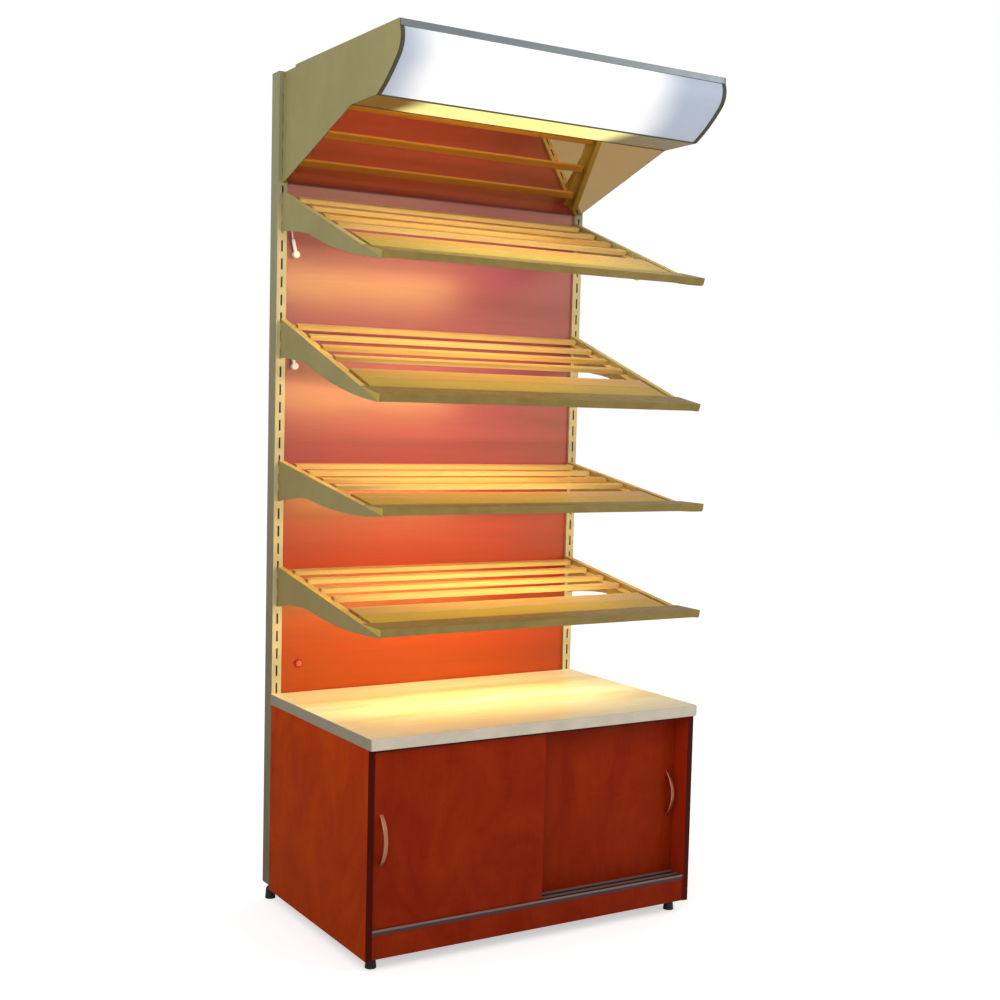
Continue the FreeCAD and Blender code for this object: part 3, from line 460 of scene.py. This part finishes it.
def brushed(name, colour, roughness, grain=BRUSHED_ALONG_X):
    """Anodised or zinc-plated metal with fine lines along one axis."""
    paint = Paint(name)
    lines = paint.noise(grain, detail=2.0)
    smear = paint.noise(12.0)
    base = linear(colour)
    darker = tuple(c * 0.82 for c in base[:3]) + (1.0,)
    paint.colour(paint.mix(paint.ramp(lines, 0.3, 0.7), darker, base))
    paint.roughness(paint.ramp(smear, 0.3, 0.7, roughness - 0.05, roughness + 0.10))
    paint.bump(lines, 0.10, 0.0001)
    paint.set(Metallic=1.0)
    return paint.material


def moulded(name, colour, roughness, gloss=0.4):
    """Moulded plastic with a fine spark texture."""
    paint = Paint(name)
    base = linear(colour)
    lighter = tuple(min(c * 1.25 + 0.004, 1.0) for c in base[:3]) + (1.0,)
    paint.colour(paint.mix(paint.ramp(paint.noise(22.0, detail=4.0), 0.35, 0.75), base, lighter))
    paint.spark_texture(roughness - 0.05, roughness + 0.10, gloss)
    return paint.material


def glowing(name, middle, ends, base, fade, centre=0.0, strength=1.0):
    """Lit opal acrylic: bright over its lamp and duller from one way off the centre to another."""
    paint = Paint(name)
    cloud = paint.noise(3.0, detail=2.0)
    away = paint.math("ABSOLUTE", paint.math("SUBTRACT", paint.position("X"), centre))
    away = paint.math("ADD", away, paint.ramp(cloud, 0.3, 0.7, -0.02, 0.02))
    fading = paint.add("ShaderNodeMapRange", interpolation_type="SMOOTHSTEP")
    fading.inputs["From Min"].default_value, fading.inputs["From Max"].default_value = fade
    paint.links.new(away, fading.inputs["Value"])
    tone = paint.mix(fading.outputs["Result"], linear(middle), linear(ends))
    paint.links.new(tone, paint.shader.inputs["Emission Color"])
    paint.set(Emission_Strength=strength, Base_Color=linear(base), Specular_IOR_Level=0.3)
    paint.roughness(paint.ramp(cloud, 0.3, 0.7, 0.24, 0.36))
    paint.bump(paint.noise(900.0, detail=1.0), 0.05, 0.0001)
    return paint.material


def mirror_glass(name):
    """Bronze-tinted mirror with a faint haze."""
    paint = Paint(name)
    haze = paint.noise(14.0, detail=4.0)
    paint.colour(paint.patchy(linear(MIRROR_TINT), paint.ramp(haze, 0.4, 0.8), 0.06))
    paint.roughness(paint.ramp(haze, 0.4, 0.8, 0.015, 0.05))
    paint.set(Metallic=1.0)
    return paint.material


def track_metal(name):
    """Satin aluminium track; its front is dark brown below the bright upper edge."""
    paint = Paint(name)
    lines = paint.noise(BRUSHED_ALONG_X, detail=2.0)
    metal = paint.patchy(linear(TRACK_METAL), paint.ramp(lines, 0.3, 0.7), 0.18)
    front = paint.ramp(paint.math("MULTIPLY", paint.facing("Y"), -1.0), 0.80, 0.95)
    below_edge = paint.ramp(paint.position("Z"), *TRACK_FRONT_EDGE)
    dark_front = paint.math("MULTIPLY", front, below_edge)
    paint.colour(paint.mix(dark_front, metal, linear(TRACK_BROWN)))
    paint.links.new(paint.math("MULTIPLY", paint.math("SUBTRACT", 1.0, front), 0.35),
                    paint.shader.inputs["Metallic"])
    paint.roughness(paint.ramp(paint.noise(12.0), 0.3, 0.7, 0.30, 0.45))
    paint.bump(lines, 0.10, 0.0001)
    return paint.material


MATERIALS = {
    # olive parts with painted warm shade low down
    "olive_metal": powder_coat("olive_metal_paint", OLIVE, OLIVE_LOW_SHADED),
    "cream_metal": powder_coat("cream_metal_paint", CREAM),
    "white_metal": powder_coat("white_metal_paint", WARM_WHITE),
    "red_laminate": panel_board("red_laminate_board"),
    "cherry_laminate": cherry_board("cherry_laminate_board", "X"),
    "beech_laminate": worktop_board("beech_laminate_board"),
    "edge_band": edge_band("edge_band_plastic"),
    "beech_slat": slat_wood("beech_slat_wood"),
    "aluminium": brushed("aluminium_anodised", ALUMINIUM, 0.34),
    "steel": brushed("zinc_steel", ZINC, 0.30),
    "copper_handle": brushed("copper_handle_metal", COPPER, 0.32, BRUSHED_ALONG_Z),
    "dark_strip": moulded("ticket_strip_plastic", STRIP_OLIVE, 0.42, gloss=0.1),
    "dark_trim": moulded("dark_trim_plastic", TRIM_DARK, 0.45, gloss=0.1),
    "black_plastic": moulded("black_plastic_moulded", BLACK, 0.50),
    "white_plastic": moulded("white_plastic_moulded", WARM_WHITE, 0.36),
    "white_lead": moulded("white_lead_sheath", LEAD_WHITE, 0.42),
    "red_plastic": moulded("red_plastic_moulded", BEZEL_RED, 0.30),
    "mirror_glass": mirror_glass("mirror_silvered"),
}
NODE_MATERIALS = {
    "upright_left": upright_coat("upright_left_paint"),
    "upright_right": upright_coat("upright_right_paint"),
    # left board in a brighter, more orange cherry as painted light
    "cabinet_side_left": cherry_board("cherry_left_lit_board", "Y", CHERRY_LEFT_LIT, CHERRY_LEFT_LIT_DARK,
                                      gloss=0.01),
    # right board with painted light on its faces towards -X
    "cabinet_side_right": cherry_board("cherry_right_board", "Y", inner=True),
    # front rails in a yellower olive as painted warm lamp light
    **{"front_rail_%d" % n: powder_coat("front_rail_paint_%d" % n, RAIL_OLIVE_LIT, RAIL_OLIVE_LIT_LOW)
       for n in SHELF_TILTS},
    # brackets with painted lamp light on their upward faces
    **{"bracket_%s_%d" % (side, n): powder_coat("bracket_%s_%d_paint" % (side, n),
                                                OLIVE, OLIVE_LOW_SHADED, upper)
       for n, upper in BRACKET_TOPS_LIT.items() for side in ("left", "right")},
    **{"canopy_side_" + side: powder_coat("canopy_side_%s_paint" % side,
                                          OLIVE, OLIVE_LOW_SHADED, edge=TRIM_DARK)
       for side in ("left", "right")},
    "bottom_track": track_metal("bottom_track_metal"),
    "top_track": moulded("top_track_plastic", EDGE_BROWN, 0.5, gloss=0.1),
    "upright_caps": moulded("upright_cap_plastic", CAP_GREY, 0.45, gloss=0.1),
    "switch_button": moulded("switch_button_plastic", SWITCH_RED, 0.24),
    "front_diffuser": glowing("opal_front_lit", LAMP_WHITE, LAMP_COOL, OPAL_FRONT,
                              FRONT_FADE, FRONT_CENTRE),
    "downlight_diffuser": glowing("opal_strip_lit", STRIP_LIT, STRIP_ENDS, OPAL_STRIP,
                                  STRIP_FADE, STRIP_CENTRE),
    "lamp_tubes": glowing("lamp_tube_lit", TUBE_LIT, TUBE_ENDS, WARM_WHITE, TUBE_FADE,
                          strength=TUBE_GLOW),
}


def dress_cad_nodes():
    """Puts each CAD node's own material, or else its slot's material, on its object."""
    slots = {part["node"]: part["material_slot"] for part in frame["record"]["subparts"]}
    for name, node in frame["nodes"].items():
        material = NODE_MATERIALS.get(name) or MATERIALS[slots[name]]
        for slot in node.material_slots:
            slot.link = "OBJECT"
            slot.material = material


# ---- camera, floor and lights ----
def camera_axes():
    """Right, up and forward of the camera, from its yaw, pitch and roll."""
    yaw, pitch, roll = (math.radians(a) for a in (CAMERA_YAW, CAMERA_PITCH, CAMERA_ROLL))
    forward = Vector((math.sin(yaw) * math.cos(pitch), math.cos(yaw) * math.cos(pitch),
                      math.sin(pitch)))
    level = Vector((math.cos(yaw), -math.sin(yaw), 0.0))
    upright = level.cross(forward)
    right = level * math.cos(roll) + upright * math.sin(roll)
    return right, right.cross(forward), forward


def add_camera():
    """Camera at the set place and angles, with a small lens shift."""
    right, up, forward = camera_axes()
    data = bpy.data.cameras.new("camera")
    data.sensor_fit = "HORIZONTAL"
    data.sensor_width = SENSOR
    data.lens = CAMERA_LENS
    data.shift_x, data.shift_y = CAMERA_SHIFT
    data.clip_end = 2.0 * FLOOR_REACH
    camera = bpy.data.objects.new("camera", data)
    turned = Matrix((right, up, -forward)).transposed().to_4x4()
    camera.matrix_world = Matrix.Translation(CAMERA_PLACE) @ turned
    bpy.context.scene.collection.objects.link(camera)
    bpy.context.scene.camera = camera


def add_floor():
    """Wide pale floor that looks white to the camera and keeps the rack's shadow."""
    mesh = bpy.data.meshes.new("floor")
    corners = [(-FLOOR_REACH, -FLOOR_REACH, 0), (FLOOR_REACH, -FLOOR_REACH, 0),
               (FLOOR_REACH, FLOOR_REACH, 0), (-FLOOR_REACH, FLOOR_REACH, 0)]
    mesh.from_pydata(corners, [], [(0, 1, 2, 3)])
    floor = bpy.data.objects.new("floor", mesh)
    bpy.context.scene.collection.objects.link(floor)
    material = bpy.data.materials.new("floor_pale")
    material.use_nodes = True
    nodes = material.node_tree.nodes
    shader = nodes["Principled BSDF"]
    shader.inputs["Base Color"].default_value = linear(FLOOR_PALE)
    shader.inputs["Roughness"].default_value = 0.9
    shader.inputs["Emission Color"].default_value = linear(WHITE)
    path = nodes.new("ShaderNodeLightPath")
    lift = nodes.new("ShaderNodeMath")
    lift.operation = "MULTIPLY"
    lift.inputs[1].default_value = FLOOR_LIFT
    material.node_tree.links.new(path.outputs["Is Camera Ray"], lift.inputs[0])
    material.node_tree.links.new(lift.outputs["Value"], shader.inputs["Emission Strength"])
    mesh.materials.append(material)


def add_world():
    """White for the camera; plain soft fill for everything else."""
    world = bpy.data.worlds.new("studio")
    world.use_nodes = True
    bpy.context.scene.world = world
    nodes = world.node_tree.nodes
    links = world.node_tree.links
    path = nodes.new("ShaderNodeLightPath")
    strength = nodes.new("ShaderNodeMapRange")
    strength.inputs["To Min"].default_value = WORLD_FILL
    strength.inputs["To Max"].default_value = 1.0
    links.new(path.outputs["Is Camera Ray"], strength.inputs["Value"])
    background = nodes["Background"]
    background.inputs["Color"].default_value = linear(WHITE)
    links.new(strength.outputs["Result"], background.inputs["Strength"])


def aimed(place, target):
    """Turn of a light at a place that shines towards a target."""
    return (Vector(target) - Vector(place)).to_track_quat("-Z", "Y").to_euler()


def add_area_light(name, place, turned, size, power, colour=WHITE):
    """Rectangular light that the camera doesn't see."""
    data = bpy.data.lights.new(name, "AREA")
    data.shape = "RECTANGLE"
    data.size, data.size_y = size
    data.energy = power
    data.color = linear(colour)[:3]
    light = bpy.data.objects.new(name, data)
    light.location = place
    light.rotation_euler = turned
    light.visible_camera = False
    bpy.context.scene.collection.objects.link(light)


def islands(node):
    """Lowest and highest corner of each separate solid of a CAD node."""
    mesh = bmesh.new()
    mesh.from_mesh(frame["nodes"][node].data)
    bmesh.ops.remove_doubles(mesh, verts=mesh.verts, dist=WELD_DISTANCE)
    waiting = set(mesh.verts)
    boxes = []
    while waiting:
        group = set()
        reached = [waiting.pop()]
        while reached:
            vert = reached.pop()
            group.add(vert)
            for link in vert.link_edges:
                other = link.other_vert(vert)
                if other in waiting:
                    waiting.discard(other)
                    reached.append(other)
        places = [v.co for v in group]
        boxes.append((Vector(min(p[i] for p in places) for i in range(3)),
                      Vector(max(p[i] for p in places) for i in range(3))))
    mesh.free()
    return boxes


def add_studio_lights():
    """Soft key light from the front left and a weaker one from the front right."""
    add_area_light("key", KEY_PLACE, aimed(KEY_PLACE, STUDIO_AIM), KEY_SIZE, KEY_POWER)
    add_area_light("side", SIDE_PLACE, aimed(SIDE_PLACE, STUDIO_AIM), SIDE_SIZE, SIDE_POWER)


def add_rack_lights():
    """Light of the shelves' tubes, tilted towards the panel, and of the canopy's light strip."""
    tubes = sorted(islands("lamp_tubes"), key=lambda pair: pair[0].z)
    tilt = math.radians(SHELF_LIGHT_TILT)
    aim = Vector((0.0, math.sin(tilt), -math.cos(tilt)))
    for number, (tube, settings) in enumerate(zip(tubes, SHELF_LIGHTS), start=1):
        low, high = tube
        power, length, middle = settings
        place = (low + high) / 2 + aim * ((high.z - low.z) / 2 + SHELF_LIGHT_STAND)
        place.x = middle
        add_area_light("shelf_lamp_%d" % number, place, (tilt, 0.0, 0.0),
                       (length, SHELF_LIGHT_WIDTH), power, LAMP_WARM)
    low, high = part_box("downlight_diffuser")
    place = ((low.x + high.x) / 2, (low.y + high.y) / 2, low.z - STRIP_LIGHT_DROP)
    add_area_light("strip_lamp", place, (0.0, 0.0, 0.0),
                   (STRIP_LIGHT_LENGTH, high.y - low.y - STRIP_LIGHT_MARGIN),
                   STRIP_LIGHT_POWER, LAMP_PLAIN)


# ---- cords and small turned pieces ----
def new_piece(name, data, body, slot):
    """Object of its own in the slot's material, riding on a body."""
    piece = bpy.data.objects.new(name, data)
    bpy.context.scene.collection.objects.link(piece)
    data.materials.append(MATERIALS[slot])
    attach(piece, body)
    return piece


def add_leads():
    """Lamp leads as round curves in place of their CAD tubes."""
    for name, (length, route) in LEADS.items():
        curve = bpy.data.curves.new(name, "CURVE")
        curve.dimensions = "3D"
        curve.bevel_depth = LEAD_DIAMETER / 2
        curve.bevel_resolution = 5
        curve.resolution_u = 16
        curve.use_fill_caps = True
        spline = curve.splines.new("NURBS")
        spline.points.add(len(route) - 1)
        for point, place in zip(spline.points, route):
            point.co = (*place, 1.0)
        spline.order_u = 3
        spline.use_endpoint_u = True
        lead = new_piece(name, curve, "rack", "white_lead")
        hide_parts("lamp_leads")


def turn(mesh, profile, origin, axis, steps=TURN_STEPS):
    """Adds a closed turned form to a mesh, from pairs of way along the axis and radius."""
    along_axis = Vector(axis).to_track_quat("Z", "Y").to_matrix().to_4x4()
    place = Matrix.Translation(origin) @ along_axis
    angles = [2 * math.pi * step / steps for step in range(steps)]
    rings = []
    for along, radius in profile:
        ring = [Vector((radius * math.cos(a), radius * math.sin(a), along)) for a in angles]
        rings.append([mesh.verts.new(place @ corner) for corner in ring])
    for lower, upper in zip(rings, rings[1:]):
        for i in range(steps):
            j = (i + 1) % steps
            mesh.faces.new((lower[i], lower[j], upper[j], upper[i]))
    mesh.faces.new(rings[0][::-1])
    mesh.faces.new(rings[-1])


def add_turned_piece(name, mesh, slot):
    """Finishes a mesh of turned forms as a piece on the rack, smooth but for its flat ends."""
    for face in mesh.faces:
        face.smooth = len(face.verts) == 4
    data = bpy.data.meshes.new(name)
    mesh.to_mesh(data)
    mesh.free()
    new_piece(name, data, "rack", slot)


def add_strain_reliefs():
    """Tapered ribbed grommets where the leads leave the supply boxes."""
    profile = list(GROMMET_FLANGE)
    for rib in range(GROMMET_RIBS):
        start = GROMMET_RIB_START + rib * GROMMET_RIB_PITCH
        radius = GROMMET_RIB_RADIUS - rib * GROMMET_TAPER
        profile += [(start + along, radius + out) for along, out in GROMMET_RIB]
    profile += GROMMET_TIP
    mesh = bmesh.new()
    for _, route in LEADS.values():
        turn(mesh, profile, Vector(route[0]), Vector(route[1]) - Vector(route[0]))
    add_turned_piece("lead_grommets", mesh, "white_plastic")


def add_tube_caps():
    """Metal caps on both ends of every tube, just inside the lampholders."""
    mesh = bmesh.new()
    for low, high in islands("lamp_tubes"):
        radius = (high.z - low.z) / 2
        middle = (low + high) / 2
        profile = [(along, radius + out) for along, out in TUBE_CAP]
        for end, way in ((low.x + TUBE_CAP_INSET, 1.0), (high.x - TUBE_CAP_INSET, -1.0)):
            turn(mesh, profile, Vector((end, middle.y, middle.z)), Vector((way, 0.0, 0.0)))
    add_turned_piece("tube_caps", mesh, "aluminium")


def add_slat_screws():
    """Pan-head screws that hold each slat from below through the brackets' ledges."""
    mesh = bmesh.new()
    for shelf, tilt in SHELF_TILTS.items():
        angle = math.radians(tilt)
        down = Vector((0.0, math.sin(angle), -math.cos(angle)))
        for low, high in islands("slats_%d" % shelf):
            under = (low + high) / 2 + down * (SLAT_HALF_THICKNESS + LEDGE_SHEET)
            for across in (low.x + LEDGE_MIDDLE, high.x - LEDGE_MIDDLE):
                turn(mesh, SCREW, Vector((across, under.y, under.z)), down, SCREW_STEPS)
    add_turned_piece("slat_screws", mesh, "steel")


add_camera()
add_leads()
dress_cad_nodes()
add_strain_reliefs()
add_tube_caps()
add_slat_screws()
add_floor()
add_world()
add_studio_lights()
add_rack_lights()
bpy.context.scene.view_settings.view_transform = "Standard"
